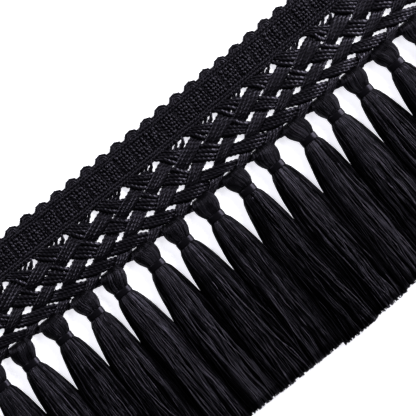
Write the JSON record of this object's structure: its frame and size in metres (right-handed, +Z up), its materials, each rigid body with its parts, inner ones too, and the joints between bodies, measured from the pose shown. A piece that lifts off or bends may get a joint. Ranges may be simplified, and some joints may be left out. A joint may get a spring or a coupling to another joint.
{
  "type": "tassel fringe trim",
  "caption": "Black sewing trim lying flat: woven heading with a scalloped edge, a plaited open lattice below it, and a row of tied yarn tassels.",
  "frame": {"origin": "on the surface that the trim lies on, at the middle of its length and of its whole drop", "axes": "+X along the trim's length, +Y from the tassels' ends towards the scalloped edge, +Z up from the surface to the trim's face"},
  "size_m": [0.271, 0.1234, 0.0054],
  "materials": {
    "heading": "woven black yarn, matt with a faint sheen",
    "lattice": "two-ply twisted black yarn with a soft sheen",
    "tassel": "black satin rayon yarn",
    "tie": "smooth glossy black binding thread"
  },
  "bodies": {
    "root": {"heading_band": "heading", "lattice": "lattice", "tassel_01": "tassel", "tassel_02": "tassel", "tassel_03": "tassel", "tassel_04": "tassel", "tassel_05": "tassel", "tassel_06": "tassel", "tassel_07": "tassel", "tassel_08": "tassel", "tassel_09": "tassel", "tassel_10": "tassel", "tassel_11": "tassel", "tassel_12": "tassel", "tassel_13": "tassel", "tassel_14": "tassel", "tassel_15": "tassel", "tassel_16": "tassel", "tassel_17": "tassel", "neck_tie_01": "tie", "neck_tie_02": "tie", "neck_tie_03": "tie", "neck_tie_04": "tie", "neck_tie_05": "tie", "neck_tie_06": "tie", "neck_tie_07": "tie", "neck_tie_08": "tie", "neck_tie_09": "tie", "neck_tie_10": "tie", "neck_tie_11": "tie", "neck_tie_12": "tie", "neck_tie_13": "tie", "neck_tie_14": "tie", "neck_tie_15": "tie", "neck_tie_16": "tie", "neck_tie_17": "tie"}
  },
  "joints": []
}
